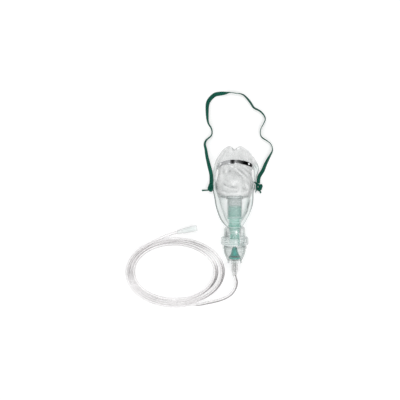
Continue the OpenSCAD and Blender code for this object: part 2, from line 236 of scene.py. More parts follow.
def mask_vinyl():
    """Soft vinyl, clear at the chin and cloudier over the nose, with a fine flow grain and soft creases.
    The mesh's painted light is painted shade above 0, on rolled edges and folds, and a painted highlight below 0, on
    ridges.
    Its haze is 0 where the wall is clear and 1 where it is cloudy."""
    mat, tree, shader = principled("mask_vinyl", IOR=1.5)
    place = node(tree, "ShaderNodeTexCoord").outputs["Object"]
    dark, light = painted_light_parts(tree)
    y = node(tree, "ShaderNodeSeparateXYZ", {"Vector": place}).outputs["Y"]
    cloudy_part = node(tree, "ShaderNodeAttribute", attribute_name="haze").outputs["Fac"]
    nose_part = ranged(tree, y, 0.0, 1.0, 0.034, 0.052)
    facing = node(tree, "ShaderNodeLayerWeight", {"Blend": 0.5}).outputs["Facing"]
    turn = maths(tree, "MULTIPLY", maths(tree, "POWER", facing, 2.0), ranged(tree, nose_part, 1.0, 0.3))
    stretched = node(
        tree, "ShaderNodeMapping", {"Vector": place, "Scale": (1.0, 0.3, 1.0)}
    ).outputs["Vector"]
    cloud = noise(tree, 85.0, 4.0, stretched, 0.6)
    fine = noise(tree, 420.0, 3.0, place)
    spots = ranged(tree, cloud, 0.0, 1.0, 0.3, 0.7)
    clear_face = mixed(tree, spots, rgb(0.26, 0.38, 0.35), rgb(0.58, 0.72, 0.69))
    cloudy_face = mixed(tree, spots, rgb(0.36, 0.38, 0.375), rgb(0.72, 0.74, 0.735))
    face = mixed(tree, cloudy_part, clear_face, cloudy_face)
    # Painted shade darkens towards near black and painted highlights whiten; both make the wall more opaque.
    shaded = mixed(tree, maths(tree, "MAXIMUM", turn, dark), face, rgb(0.07, 0.08, 0.08))
    tree.links.new(mixed(tree, light, shaded, rgb(0.97, 0.98, 0.98)), shader.inputs["Base Color"])
    clear_alpha = ranged(tree, turn, 0.085, 0.68)
    cloudy_alpha = ranged(tree, turn, ranged(tree, nose_part, 0.345, 0.275), 0.85)
    alpha = node(
        tree, "ShaderNodeMix", {0: cloudy_part, 2: clear_alpha, 3: cloudy_alpha}, data_type="FLOAT"
    ).outputs[0]
    alpha = maths(tree, "MULTIPLY", alpha, ranged(tree, cloud, 0.5, 1.5, 0.34, 0.66))
    painted_light_opacity = maths(tree, "MAXIMUM", maths(tree, "MULTIPLY", dark, 0.85), maths(tree, "MULTIPLY", light, 0.6))
    tree.links.new(maths(tree, "MAXIMUM", alpha, painted_light_opacity), shader.inputs["Alpha"])
    tree.links.new(ranged(tree, fine, 0.08, 0.22, 0.3, 0.7), shader.inputs["Roughness"])
    bumped(tree, shader, noise(tree, 75.0, 3.0, stretched), 0.22, 0.002)
    return mat


def woven_elastic():
    """Dark green knitted elastic, with rows of loops across the band and a paler nap."""
    mat, tree, shader = principled("strap_elastic", Specular_IOR_Level=0.14)
    place = node(tree, "ShaderNodeTexCoord").outputs["Object"]
    fine = noise(tree, 900.0, 2.0, place)
    broad = noise(tree, 60.0, 3.0, place)
    loops = node(
        tree, "ShaderNodeTexVoronoi", {"Vector": place, "Scale": 1400.0}, feature="F1"
    ).outputs["Distance"]
    dark, light = rgb(0.0005, 0.028, 0.017), rgb(0.0015, 0.078, 0.050)
    colour = mixed(tree, ranged(tree, broad, 0.0, 1.0, 0.3, 0.7), dark, light)
    colour = mixed(tree, ranged(tree, loops, 0.0, 0.55, 0.1, 0.6), colour, rgb(0.005, 0.120, 0.080))
    tree.links.new(colour, shader.inputs["Base Color"])
    tree.links.new(ranged(tree, fine, 0.55, 0.85, 0.3, 0.7), shader.inputs["Roughness"])
    bumped(tree, shader, loops, 0.6, 0.0004)
    return mat


def rolled_aluminium():
    """Bright rolled strip, brushed along its length, with fine handling marks and a painted dark reflection that
    takes its colour to near black.
    """
    mat, tree, shader = principled("clip_metal", Metallic=1.0)
    place = node(tree, "ShaderNodeTexCoord").outputs["Object"]
    along = node(tree, "ShaderNodeMapping", {"Vector": place, "Scale": (0.06, 1.0, 0.3)}).outputs["Vector"]
    brushed = noise(tree, 1800.0, 3.0, along)
    marks = noise(tree, 130.0, 4.0, place)
    # Painted dark reflection: where the mesh says, the strip's colour goes to near black.
    painted_dark_reflection = node(tree, "ShaderNodeAttribute", attribute_name="painted_light").outputs["Fac"]
    bright = mixed(tree, brushed, rgb(0.34, 0.345, 0.35), rgb(0.60, 0.61, 0.62))
    tree.links.new(mixed(tree, painted_dark_reflection, bright, rgb(0.012, 0.012, 0.013)), shader.inputs["Base Color"])
    tree.links.new(ranged(tree, marks, 0.16, 0.34, 0.3, 0.7), shader.inputs["Roughness"])
    bumped(tree, shader, brushed, 0.12, 0.0002)
    return mat


def floor_card():
    mat, tree, shader = principled("floor_card", Roughness=0.9, Emission_Color=rgb(1, 1, 1), Emission_Strength=0.45)
    paper = noise(tree, 40.0, 2.0)
    tree.links.new(mixed(tree, paper, rgb(0.60, 0.60, 0.60), rgb(0.64, 0.64, 0.64)), shader.inputs["Base Color"])
    return mat


def flag_cloth():
    mat, tree, shader = principled("flag_cloth", Roughness=0.95)
    weave = noise(tree, 200.0, 2.0)
    tree.links.new(mixed(tree, weave, rgb(0.01, 0.01, 0.01), rgb(0.02, 0.02, 0.02)), shader.inputs["Base Color"])
    return mat


# See-through plastics: colour facing the eye, colour at the edge, opacity at both, and other settings
PLASTICS = {
    "stud_plastic": ((0.92, 0.93, 0.93), (0.55, 0.58, 0.57), (0.9, 1.0), {"power": 2.0, "cloud": 0.05}),
    "port_plastic": ((0.36, 0.45, 0.44), (0.14, 0.20, 0.19), (0.15, 0.70), {"power": 2.8}),
    "cap_plastic": ((0.56, 0.63, 0.62), (0.14, 0.18, 0.17), (0.05, 0.70), {"power": 2.4, "cloud": 0.35}),
    "clear_plastic": ((0.50, 0.57, 0.55), (0.08, 0.11, 0.10), (0.10, 0.85), {}),
    "pale_green_plastic": ((0.18, 0.62, 0.51), (0.03, 0.27, 0.21), (0.18, 0.85), {"power": 2.3}),
    "dark_green_plastic": ((0.0, 0.44, 0.37), (0.0, 0.12, 0.09), (0.74, 0.98), {"power": 1.3}),
    "seal_rubber": ((0.50, 0.54, 0.53), (0.25, 0.29, 0.28), (0.30, 0.8), {"rough": (0.3, 0.5)}),
    "soft_vinyl": ((0.60, 0.60, 0.59), (0.14, 0.14, 0.14), (0.10, 0.88), {"power": 2.0}),
    "tube_vinyl": ((0.80, 0.76, 0.77), (0.16, 0.14, 0.145), (0.03, 0.72), {"power": 3.0, "cloud": 0.4}),
}
MATERIALS = {"mask_vinyl": mask_vinyl(), "strap_elastic": woven_elastic(), "clip_metal": rolled_aluminium()}
for plastic, (face, edge, opacity, settings) in PLASTICS.items():
    MATERIALS[plastic] = clear_plastic(plastic, rgb(*face), rgb(*edge), opacity, **settings)


def dress(obj, slot, body=None, nodes=()):
    """Gives a piece its material and slot, puts it on its body, and hides the CAD nodes it stands for."""
    obj.data.materials.clear()
    obj.data.materials.append(MATERIALS[slot])
    if body:
        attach(obj, body)
    if nodes:
        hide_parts(*nodes)
    return obj


# ---------------------------------------------------------------- camera, light and floor


def studio():
    scene = bpy.context.scene
    scene.view_settings.view_transform = "Standard"
    scene.cycles.transparent_max_bounces = 48
    scene.cycles.max_bounces = 12

    view_width = 0.68
    distance = 5.0
    data = bpy.data.cameras.new("camera")
    data.sensor_width = 36.0
    data.lens = data.sensor_width * distance / view_width
    data.clip_start = 0.01
    camera = bpy.data.objects.new("camera", data)
    camera.location = (-0.0587, -0.0204, distance)
    scene.collection.objects.link(camera)
    scene.camera = camera

    world = bpy.data.worlds.new("studio")
    world.use_nodes = True
    world.node_tree.nodes["Background"].inputs["Color"].default_value = rgb(1.0, 1.0, 1.0)
    world.node_tree.nodes["Background"].inputs["Strength"].default_value = 0.85
    scene.world = world

    def lamp(name, place, target, size, watts):
        light = bpy.data.lights.new(name, "AREA")
        light.shape = "DISK"
        light.size = size
        light.energy = watts
        obj = bpy.data.objects.new(name, light)
        obj.location = place
        obj.rotation_euler = (Vector(target) - Vector(place)).to_track_quat("-Z", "Y").to_euler()
        scene.collection.objects.link(obj)

    lamp("key", (-0.10, 0.86, 1.25), (0, 0, 0.04), 0.22, 3.5)
    lamp("fill", (0.6, -0.5, 1.2), (-0.05, -0.05, 0), 0.60, 4.0)

    # Dark flag beside the set, seen only in reflections
    bpy.ops.mesh.primitive_plane_add(size=1.0, location=(0.60, 0.80, 0.55))
    flag = bpy.context.object
    flag.name = "flag"
    flag.scale = (1.25, 0.95, 1.0)
    flag.rotation_euler = (-flag.location).to_track_quat("Z", "Y").to_euler()
    flag.visible_camera = False
    flag.data.materials.append(flag_cloth())

    bpy.ops.mesh.primitive_plane_add(size=6.0, location=(0, 0, -0.0003))
    floor = bpy.context.object
    floor.name = "floor"
    floor.data.materials.append(floor_card())


studio()

# ---------------------------------------------------------------- nebuliser axis

hinge = next(j for j in frame["joints"] if j["name"] == "bowl_turn")
AXIS = Vector(hinge["axis"]).normalized()
AXIS_START = Vector(hinge["pos_m"])
ON_AXIS = Matrix.Translation(AXIS_START) @ AXIS.to_track_quat("Z", "Y").to_matrix().to_4x4()


def neb_point(s):
    return np.array((AXIS_START + AXIS * s * MM) / MM)


# ---------------------------------------------------------------- supply tube

TUBE_R = 2.75
LUMEN_R = 1.7
CONNECTOR_END = -60.0
LEAD_ROUTE = [
    (1.5, -154, 13.4), (3, -160, 12), (1.5, -168, 9.4), (-2.5, -176, 6.8), (-9, -182.5, 4.6),
    (-18, -187.5, 3.2), (-30, -191.5, 2.75), (-44, -194.5, 2.75), (-60, -197.5, 2.75),
]
TAIL_ROUTE = [
    (-150, -99.5, 7.5), (-136, -90.5, 7.5), (-124, -84.5, 7), (-112, -79.5, 5), (-104, -77, 3.8),
    (-97, -75.3, 3.4),
]
COIL_CENTRE = (-101.0, -143.0)
COIL_AXES = (76.25, 52.25)
COIL_START = -72.0      # direction from the centre where the lead joins, in degrees
COIL_END = 1592.0       # degrees wound, clockwise from above, when the tail leaves
LOW, HIGH = 2.75, 7.5   # heights of the lower and the upper layer
# How far out of the middle line each turn lies, and its height, where it passes the bottom, the left,
# the top and the right
COIL_TURNS = [
    [(5.0, LOW), (5.5, LOW), (4.1, LOW), (5.5, LOW)],
    [(-0.5, LOW), (0.0, LOW), (-1.4, LOW), (-5.6, LOW)],
    [(-6.0, LOW), (-5.5, LOW), (-4.1, HIGH), (-8.4, HIGH)],
    [(-3.25, HIGH), (-2.75, HIGH), (1.4, HIGH), (3.2, HIGH)],
    [(2.25, HIGH), (2.75, HIGH), (2.75, HIGH)],
]


def coil_points():
    table = [(-COIL_START - 90.0, 5.0, LOW)]
    for turn, sides in enumerate(COIL_TURNS):
        for quarter, (out, z) in enumerate(sides):
            table.append((360.0 * turn + 90.0 * quarter + 90.0 + COIL_START, out, z))
    points = []
    step = 9.0
    for i in range(int(COIL_END / step) + 1):
        wound = i * step
        out, z = smooth(sorted(table), wound)
        a = math.radians(COIL_START - wound)
        x = COIL_CENTRE[0] + (COIL_AXES[0] + out) * math.cos(a)
        y = COIL_CENTRE[1] + (COIL_AXES[1] + out) * math.sin(a)
        points.append((x, y, z))
    return points


def streak(tube, path, sides):
    """Paints light on the outer skin: a painted shade streak on the side away from the lamp and a painted highlight
    towards it. The painted shade is heavier on the lead and on the right of the coil, lighter at its bottom.
    """
    marks = tube.data.attributes.new("painted_light", "FLOAT", "POINT")
    for i, middle in enumerate(path):
        round_x = (middle[0] - COIL_CENTRE[0]) / COIL_AXES[0]
        round_y = (middle[1] - COIL_CENTRE[1]) / COIL_AXES[1]
        strength = 0.85 + 0.25 * math.sin(0.21 * i) * math.sin(0.083 * i + 1) - 0.65 * ease(-round_y)
        strength += 1.3 * ease(round_x) + 0.15 * ease(-round_x) + 0.9 * (i < 40)
        for k in range(sides):
            out = np.array(tube.data.vertices[i * sides + k].co) / MM - middle
            turn = float(out @ SHADE_SIDE) / TUBE_R
            if out[2] < -0.5:
                continue
            dark = min(0.62 * strength * bump_at(turn, 0.55, 0.34), 0.95)
            painted_highlight = 0.40 * bump_at(turn, -0.45, 0.35)
            marks.data[i * sides + k].value = dark - painted_highlight


def bump_at(value, middle, half):
    return math.exp(-(((value - middle) / half) ** 2))


SHADE_SIDE = np.array((0.62, -0.78, 0.0))


def supply_tube():
    path = resampled([neb_point(CONNECTOR_END)] + LEAD_ROUTE + coil_points() + TAIL_ROUTE, 2.5)
    path[:, 2] = np.maximum(path[:, 2], TUBE_R)
    outer = circle(TUBE_R, 16)
    inner = circle(LUMEN_R, 12)
    tube = new_object(
        "supply_tube", *joined(swept(path, lambda i: outer), swept(path, lambda i: inner)), smooth_angle=60
    )
    streak(tube, path, len(outer))
    dress(tube, "tube_vinyl", "hose", ["tube_lead", "tube_coil", "tube_tail"])


supply_tube()

# ---------------------------------------------------------------- head strap

BAND_W = 7.0
BAND_T = 1.2
STRAP_ROUTE = [
    (-40, 6), (-39.3, 14), (-39.8, 24), (-43.5, 39), (-47, 54), (-48.9, 66), (-50.6, 74), (-49, 80),
    (-44.6, 84.5), (-39.6, 89), (-38.2, 95), (-39.7, 102), (-43.6, 108), (-45.7, 115), (-46.5, 128),
    (-46.4, 138), (-45.2, 145), (-41.9, 150.8), (-37.4, 155.6), (-32, 159), (-23, 160.5), (-15, 161.2),
    (-8, 162.4), (2, 161), (13, 159.2), (20, 153.8), (27.4, 144.7), (32.7, 136.6), (43, 130.8), (49.7, 124),
    (52.3, 117), (49.1, 109), (44.9, 101), (43.7, 93), (46.2, 86.3), (55, 80.3), (61.3, 75.3), (64, 69),
    (64.1, 63), (58.4, 52), (52.8, 41), (47.7, 29), (41.6, 19), (40, 8),
]
# How far the band leans over at a numbered point of the route: 0 on edge, 90 flat
STRAP_LEAN = [
    (0, 64), (1, 67), (2.4, 64), (3.6, 49), (5.1, 35), (6.4, 26), (8.5, 13), (10.3, 10), (12.5, 20), (13.7, 38),
    (15, 52), (16, 68), (17, 80), (18.3, 84), (19.5, 80), (20.6, 53), (22, 8), (23, 1), (24, 12), (25.5, 25),
    (27, 24), (29, 14), (30.5, 4), (33, 3), (34, 12), (35.7, 3), (37.7, 7), (39, 31), (40.2, 50), (41.2, 60),
    (43, 62),
]


def strap():
    route = np.array([(x, y, 0.0) for x, y in STRAP_ROUTE])
    path = resampled(route, 2.0)
    count = len(path)
    along = np.concatenate([[0.0], np.cumsum(np.linalg.norm(np.diff(route, axis=0), axis=1))])
    keys = [(float(np.interp(k, range(len(along)), along)), lean) for k, lean in STRAP_LEAN]
    leans = [math.radians(smooth(keys, along[-1] * i / (count - 1))) for i in range(count)]
    over_ear = 2.2
    for i, lean in enumerate(leans):
        half_height = BAND_W / 2 * math.cos(lean) + BAND_T / 2 * math.sin(lean) + 0.15
        near_end = min(i, count - 1 - i) * 2.0
        path[i][2] = half_height + over_ear * (1 - ease((near_end - 6) / 16))
    edge = 5
    corner = BAND_T / 2
    outline = []
    for sign in (1, -1):
        for k in range(edge):
            a = math.pi * k / (edge - 1)
            outline.append((sign * corner * math.cos(a), sign * (BAND_W / 2 - corner + corner * math.sin(a))))

    def section(i):
        c, s = math.cos(leans[i]), math.sin(leans[i])
        return [(x * c + y * s, -x * s + y * c) for x, y in outline]

    band = new_object("head_strap", *swept(path, section), smooth_angle=50)
    dress(band, "strap_elastic", "mask", ["strap_band"])


strap()

# ---------------------------------------------------------------- mask

FLANGE_HALF = [
    (-71, 5), (-67, 11.5), (-62, 16.5), (-54, 22), (-41, 27.9), (-31, 31.4), (-20, 33.4), (-7, 35), (5, 36),
    (19, 36.6), (34, 38.2), (48, 33.5), (55, 28.5), (61, 24), (66, 19), (71, 11),
]
DOME_HALF = [
    (-71, 2.5), (-67, 6), (-58, 12.5), (-51, 16), (-41, 20), (-31, 23.5), (-20, 26.5), (-8, 31), (5, 33),
    (20, 34), (35, 32.5), (45, 29.5), (55, 23), (62, 16), (66, 12), (71, 7),
]
RIM_Z = [(-71, 5), (-67, 2.4), (-62, 0.5), (-58, 0), (31, 0), (36, 0.6), (42, 2.6), (50, 6.8), (60, 12), (71, 16)]
CHIN_TOP = [(-71, 6.5), (-66, 7.8), (-60, 10.5), (-45, 15.5), (-30, 19), (-13, 21.5)]
BULGE_TOP = [(-19, 51.5), (-8, 54.5), (0, 55), (10, 52), (25, 42), (36, 31), (45, 26), (60, 20.5), (71, 17.5)]
# Sideways lie of the soft flange, larger at the cheeks
FLANGE_LEAN = [
    (-68, 0), (-54, -1.4), (-41, -1), (-25, -0.8), (-10, -2.2), (5, -0.8), (20, 1.2), (35, 3), (47, 2), (60, 1),
    (71, 0),
]
# Height of the rolled edge over the distance in from it
BEAD = [(0, 1.0), (0.4, 2.0), (1.0, 2.3), (1.8, 1.9), (2.6, 1.4), (4.0, 1.3)]
WALL = 1.3
STEP_Y = (-18.5, -14.5)
SMILE = 4.5
NOSE_DIP = 5.0
ARCH_POWER = 2.45
END_Y = 71.0
# Soft folds pressed into the dome: start, end, depth and half width
FOLDS = [
    ((-7, 36), (27, 4), 0.8, 1.6), ((3, 37), (29, 15), 0.6, 1.4), ((-3, 30), (16, 2), -0.5, 1.5),
    ((-21, 7), (2, -1), 0.7, 1.3), ((2, -1), (22, 1), 0.6, 1.4), ((-14, 36), (-8, 22), 0.6, 1.5),
    ((-24, 30), (-18, 14), 0.5, 1.6), ((10, -3), (21, -11), 0.6, 1.6), ((-25, 0), (-16, -10), 0.5, 1.6),
    ((-12, 62), (-22, 48), 0.4, 1.6), ((6, 64), (19, 51), 0.5, 1.5), ((-3, 58), (-6, 47), -0.4, 1.6),
]


def fold_depth(x, y):
    total = 0.0
    for (x0, y0), (x1, y1), depth, half in FOLDS:
        dx, dy = x1 - x0, y1 - y0
        along = min(max(((x - x0) * dx + (y - y0) * dy) / (dx * dx + dy * dy), 0.0), 1.0)
        gap = math.hypot(x - x0 - along * dx, y - y0 - along * dy)
        total += depth * math.sin(math.pi * (0.12 + 0.76 * along)) * math.exp(-((gap / half) ** 2))
    return total


def top_z(y):
    rise = ease((y - STEP_Y[0]) / (STEP_Y[1] - STEP_Y[0]))
    return (1 - rise) * smooth(CHIN_TOP, y) + rise * smooth(BULGE_TOP, y)


def placed(x, y, z):
    bent = y + SMILE * (x / 30) ** 2 * math.exp(-(((y + 15) / 14) ** 2))
    bent -= NOSE_DIP * math.exp(-((x / 5) ** 2)) * math.exp(-(((y - 71) / 6) ** 2))
    return (x, bent, z)


def squared(v):
    return math.copysign(abs(v) ** (2 / ARCH_POWER), v)


def dome_point(y, t, skin, folds=True):
    """Point of the dome at station y and arch angle t: skin 0 is the inner face, WALL the outer one."""
    low = smooth(RIM_Z, y) + skin
    high = max(top_z(y) - WALL + skin, low)
    half = max(smooth(DOME_HALF, y) - WALL + skin, 1.0)
    lift = squared(math.sin(t))
    x = half * squared(math.cos(t))
    z = low + (high - low) * lift
    if folds:
        z -= fold_depth(x, y) * ease((lift - 0.3) / 0.4) * min((high - low) / 6, 1)
    return placed(x + 0.5 * smooth(FLANGE_LEAN, y) * (1 - lift), y, z)


def flange_points(y, side, upper):
    """Points across the flange from its edge to the dome, on one side."""
    outer, inner = smooth(FLANGE_HALF, y), smooth(DOME_HALF, y)
    width = outer - inner
    points = []
    for inset in (0.0, 0.35, 0.8, 1.3, 1.9, 2.7):
        points.append(inset)
    points += [2.7 + (width - 2.7) * k for k in (0.35, 0.7)] if width > 3.2 else [width * 0.93, width * 0.97]
    row = []
    for inset in points:
        d = min(inset, END_Y - abs(y))
        curl = 1.6 * math.exp(-((inset / 4) ** 2)) * ease((y - 50) / 18)
        z = smooth(RIM_Z, y) + curl
        z += smooth(BEAD, max(d, 0)) if upper else 0.7 * math.exp(-((d / 0.35) ** 2))
        weight = 1 - 0.5 * min(inset / max(width, 1), 1)
        row.append(placed(side * (outer - inset) + weight * smooth(FLANGE_LEAN, y), y, z))
    return row


def mask_row(y, upper):
    steps = 60
    skin = WALL if upper else 0.0
    arch = [dome_point(y, math.pi * (1 - i / steps), skin) for i in range(steps + 1)]
    return flange_points(y, -1, upper) + arch + flange_points(y, 1, upper)[::-1]


def double_skin(upper, lower):
    """One closed skin from two equal grids of points."""
    rows, cols = len(upper), len(upper[0])
    verts = [p for row in upper for p in row] + [p for row in lower for p in row]

    def at(side, i, j):
        return side * rows * cols + i * cols + j

    faces = []
    for i in range(rows - 1):
        for j in range(cols - 1):
            faces.append((at(0, i, j), at(0, i, j + 1), at(0, i + 1, j + 1), at(0, i + 1, j)))
            faces.append((at(1, i, j), at(1, i + 1, j), at(1, i + 1, j + 1), at(1, i, j + 1)))
        for j in (0, cols - 1):
            faces.append((at(0, i, j), at(0, i + 1, j), at(1, i + 1, j), at(1, i, j)))
    for j in range(cols - 1):
        for i in (0, rows - 1):
            faces.append((at(0, i, j), at(1, i, j), at(1, i, j + 1), at(0, i, j + 1)))
    return verts, faces


def cut(obj, *cutters):
    """Takes the cutters out of obj and deletes them."""
    for cutter in cutters:
        step = obj.modifiers.new("cut", "BOOLEAN")
        step.operation = "DIFFERENCE"
        step.solver = "EXACT"
        step.object = cutter
    baked(obj)
    for cutter in cutters:
        bpy.data.objects.remove(cutter)


def baked(obj):
    """Applies the object's modifiers."""
    graph = bpy.context.evaluated_depsgraph_get()
    mesh = bpy.data.meshes.new_from_object(obj.evaluated_get(graph))
    obj.modifiers.clear()
    obj.data = mesh


def rod(name, r, start, end, sides=64):
    """Plain cutter between two points, in millimetres."""
    start, end = Vector(start), Vector(end)
    turn = (end - start).to_track_quat("Z", "Y")
    verts = []
    for z in (0.0, (end - start).length):
        verts += [start + turn @ Vector((x, y, z)) for x, y in circle(r, sides)]
    faces = [(k, (k + 1) % sides, sides + (k + 1) % sides, sides + k) for k in range(sides)]
    faces += [tuple(range(sides))[::-1], tuple(range(sides, 2 * sides))]
    return new_object(name, verts, faces)


EAR_X = 40.0
EAR_Y = 2.0
VENT_R = 12.0
VENT_Y = 20.0
VENT_Z = 17.0


def ear(side):
    """Strap tab with a slot, as a ring of four walls round the slot with round outer corners."""
    outline, slot_outline = [], []
    for k in range(48):
        a = 2 * math.pi * k / 48
        c, s = math.cos(a), math.sin(a)
        outline.append((5.6 * math.copysign(abs(c) ** 0.5, c), 7.0 * math.copysign(abs(s) ** 0.5, s)))
        slot_outline.append((1.1 * math.copysign(abs(c) ** 0.4, c), 3.5 * math.copysign(abs(s) ** 0.4, s)))
    verts, faces = [], []
    for ring, z in ((outline, 0.05), (outline, 1.45), (slot_outline, 1.45), (slot_outline, 0.05)):
        verts += [(side * (EAR_X - 1.2) + x, EAR_Y + y, z) for x, y in ring]
    for ring in range(4):
        for k in range(48):
            n = (k + 1) % 48
            nxt = (ring + 1) % 4
            faces.append((ring * 48 + k, ring * 48 + n, nxt * 48 + n, nxt * 48 + k))
    return verts, faces


# Painted light on the soft wall, along its folds and ridges: start, end, half width, and value above 0 for painted
# shade or below 0 for painted highlight
PAINTED_STROKES = [
    ((26, -18), (20.5, -38), 1.8, 0.75), ((21.5, -38), (13, -55), 1.3, 0.7), ((-26, -21), (-14, -56), 1.2, 0.6),
    ((24, -26), (20, -44), 0.9, 0.5), ((-28.5, -24), (-23, -44), 0.9, -0.3), ((-24, -22), (-18, -48), 1.5, -0.45),
    ((-2.5, 35), (21, 14.5), 1.1, -1.0), ((3, 35), (24, 15), 1.1, 0.7), ((-2, 31), (13, 17), 1.1, 0.6),
    ((7, 36), (27, 19), 0.9, -0.7), ((11, 36), (27, 23), 1.1, 0.7), ((16, 36), (28, 27), 0.9, -0.6),
    ((-13.6, 33), (-14.5, 24), 1.4, -1.0), ((-10, 30), (-6.5, 26.5), 1.6, 0.8), ((-7, 36.5), (-3, 35.5), 1.6, -1.0),
    ((-18, 33), (-19, 22), 1.0, 0.6), ((-22, 31), (-23, 16), 1.0, -0.7), ((-26, 27), (-26, 8), 1.0, 0.6),
    ((-21, 9), (-13, 2.5), 1.0, 0.85), ((-13, 2.5), (7, 0.5), 1.0, 0.75), ((-19, 3), (-6, -2.5), 1.0, -0.8),
    ((-6, -2.5), (10, -3), 0.9, -0.6), ((-5.5, 10), (7.5, 10), 2.4, -1.0), ((12, 1), (19, -4), 2.1, 0.6),
    ((9, 3), (13, 5), 1.2, -0.8), ((17, 9), (24, -3), 1.1, -0.9), ((20, 13), (27, 0), 1.0, 0.6),
    ((-29, 4), (-24, 0), 2.0, 0.45), ((-12, 20), (-13, 8), 1.2, 0.3), ((10, 22), (14, 10), 1.4, 0.3),
    ((-26, -6), (-12, -10.5), 1.2, -0.7), ((-12, -10.5), (12, -10), 1.4, -0.8), ((12, -10), (25, -5), 1.2, -0.7),
    ((-24, -3), (-10, -7), 0.9, 0.5), ((-10, -7), (8, -7), 0.9, 0.45), ((-18, -16.5), (-8, -18.5), 0.9, 0.4),
    ((-29, 38), (-25, 33), 1.2, 0.6), ((-5, 69), (-1, 63), 0.9, 0.6), ((2, 64), (3, 69), 1.0, 0.65),
    ((-12, 69), (-7, 66), 0.8, 0.5), ((9, 68), (18, 58), 0.9, 0.3), ((4, 67), (8, 66), 0.9, -0.9),
    ((-10, 71), (-5, 71), 0.8, 0.4), ((30, 44), (38, 33), 0.9, 0.35), ((25, 50), (33, 40), 0.9, -0.5),
    ((34, 40), (38, 30), 0.9, 0.35), ((-20, 50), (-8, 52), 1.6, -0.35), ((8, 52), (18, 50), 1.2, 0.2),
    ((22, 22), (25, 8), 3.5, 0.2), ((-21, 22), (-24, 6), 3.5, -0.26), ((-15, -0.5), (8, -1.5), 2.4, 0.14),
]
# Half width of the painted shade along the rolled edge
EDGE_SHADE_WIDTH = [(-71, 1.3), (-50, 1.6), (-20, 1.9), (-5, 1.6), (8, 1.1), (30, 1.0), (40, 1.2), (71, 1.2)]
# How dark the painted shade along the rolled edge is on the left and the right side
EDGE_SHADE_LEFT = [
    (-70, 0.5), (-58, 0.95), (-40, 0.95), (-25, 0.85), (-12, 1), (0, 0.8), (30, 0.8), (40, 0.2), (60, 0.2),
    (71, 0.35),
]
EDGE_SHADE_RIGHT = [(-70, 0.3), (-45, 0.45), (-28, 0.75), (-15, 0.8), (30, 0.85), (40, 0.35), (60, 0.15), (71, 0.35)]


def painted_light_at(x, y, z, outline):
    """Painted light on the mask wall at a point, in millimetres: painted shade above 0 along the strokes, round the
    vents and along the rolled edge, painted highlight below 0 along the strokes.
    """
    total = 0.0
    for (x0, y0), (x1, y1), half, painted_light in PAINTED_STROKES:
        dx, dy = x1 - x0, y1 - y0
        along = ((x - x0) * dx + (y - y0) * dy) / (dx * dx + dy * dy)
        near = min(max(along, 0.0), 1.0)
        gap = math.hypot(x - x0 - near * dx, y - y0 - near * dy)
        total += painted_light * math.exp(-((gap / half) ** 2)) * (0.35 + 0.65 * math.sin(math.pi * near))
    rim = abs(math.hypot(y - VENT_Y, z - VENT_Z) - VENT_R)
    if abs(x) > 26:
        total += 0.55 * math.exp(-((rim / 0.55) ** 2))
    edge = float(np.hypot(outline[:, 0] - x, outline[:, 1] - y).min())
    strength = smooth(EDGE_SHADE_LEFT if x < 0 else EDGE_SHADE_RIGHT, y)
    return total + strength * math.exp(-((edge / smooth(EDGE_SHADE_WIDTH, y)) ** 2))


def haze_at(x, y, z):
    """How cloudy the mask wall is: the dome and the nose are, the chin and the flange beside the cheeks aren't."""
    dome = ease((y + 22) / 10)
    half = smooth(DOME_HALF, y) - 1.5
    return dome * max(1 - ease((abs(x) - half) / 2.0), ease((y - 33) / 9))


def write_on_points(obj, value_of, attribute="painted_light"):
    """Writes a function of (x, y, z), in millimetres, on the object's points, by default as their painted light."""
    marks = obj.data.attributes.new(attribute, "FLOAT", "POINT")
    for vertex in obj.data.vertices:
        marks.data[vertex.index].value = min(max(value_of(*(vertex.co / MM)), -1.0), 1.0)


def mask():
    stations = np.concatenate([
        -END_Y + 50.5 * np.linspace(0, 1, 36) ** 1.15, np.linspace(-19.8, -13.2, 15),
        np.linspace(-12.2, 66.5, 58), np.linspace(67.4, END_Y, 6),
    ])
    shell = new_object(
        "mask", *double_skin([mask_row(y, True) for y in stations], [mask_row(y, False) for y in stations])
    )
    vents = rod("vents", VENT_R, (-60, VENT_Y, VENT_Z), (60, VENT_Y, VENT_Z))
    port = rod("port", 12.5, neb_point(68), neb_point(82))
    cut(shell, vents, port)
    tabs = new_object("tabs", *joined(ear(1), ear(-1)))
    merged = bmesh.new()
    merged.from_mesh(shell.data)
    merged.from_mesh(tabs.data)
    merged.to_mesh(shell.data)
    merged.free()
    bpy.data.objects.remove(tabs)
    shade(shell, 40)
    rows = [flange_points(y, side, True)[0] for side in (-1, 1) for y in np.linspace(-END_Y, END_Y, 240)]
    outline = np.array(rows + [p for y in (-END_Y, END_Y) for p in mask_row(y, True)])
    # Painted shade and painted highlights of the mask wall
    write_on_points(shell, lambda x, y, z: painted_light_at(x, y, z, outline))
    write_on_points(shell, haze_at, "haze")
    shell.visible_shadow = False
    dress(shell, "mask_vinyl", "mask", ["mask_shell"])


mask()

# ---------------------------------------------------------------- turned parts of the nebuliser


def rounded(profile, radius, steps=3):
    """A closed profile with its corners rounded off."""
    points = []
    count = len(profile)
    for i in range(count):
        before, here, after = (np.array(profile[k % count], float) for k in (i - 1, i, i + 1))
        arms = []
        for other in (before, after):
            arm = other - here
            size = np.linalg.norm(arm)
            arms.append(here + arm / size * min(radius, 0.4 * size))
        for k in range(steps + 1):
            u = k / steps
            points.append(tuple((1 - u) ** 2 * arms[0] + 2 * u * (1 - u) * here + u * u * arms[1]))
    return points


